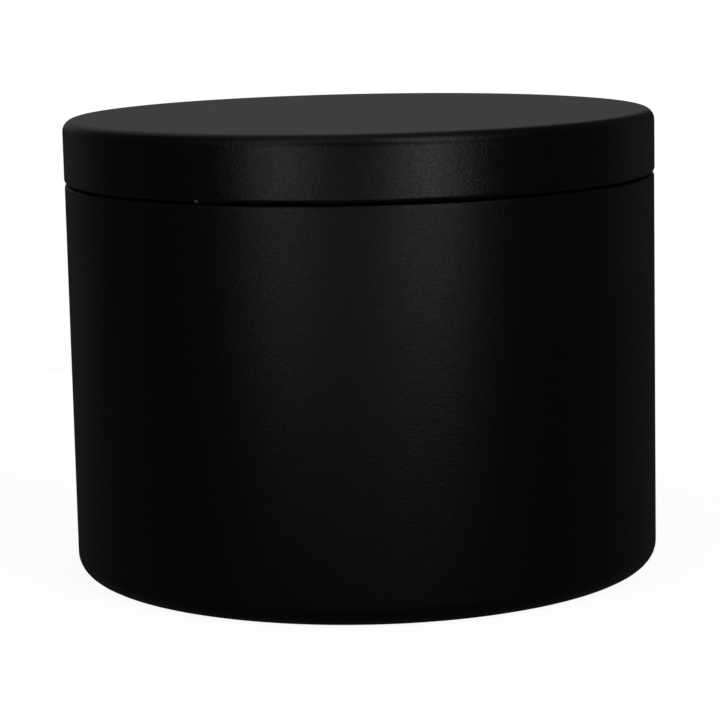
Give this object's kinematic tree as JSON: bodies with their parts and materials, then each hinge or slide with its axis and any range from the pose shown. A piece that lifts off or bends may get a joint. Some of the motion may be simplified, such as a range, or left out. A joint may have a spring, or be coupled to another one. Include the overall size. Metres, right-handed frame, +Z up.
{
  "type": "candle tin",
  "caption": "Round drawn metal tin with a flush slip lid, holding poured wax round a cored cotton wick on a metal base.",
  "frame": {"origin": "centre of the standing ring, in the plane that the tin stands on", "axes": "+Z up along the tin's axis, from the base to the lid; the tin is round, so +X and +Y are any two level directions"},
  "size_m": [0.077, 0.077, 0.0595],
  "materials": {
    "can_paint": "matte",
    "lid_paint": "satin",
    "wax": "satin",
    "wick_cotton": "matte",
    "wick_paper": "matte",
    "bare_tinplate": "satin",
    "sticker_foam": "matte"
  },
  "bodies": {
    "can": {"can_body": "can_paint", "wax_fill": "wax", "wick_braid": "wick_cotton", "wick_core": "wick_paper", "wick_sustainer": "bare_tinplate", "wick_sticker": "sticker_foam"},
    "lid": {"lid": "lid_paint"}
  },
  "joints": [
    {"name": "lid_lift", "type": "slide", "parent": "can", "child": "lid", "axis": [0, 0, 1], "range_m": [0, 0.06]}
  ]
}
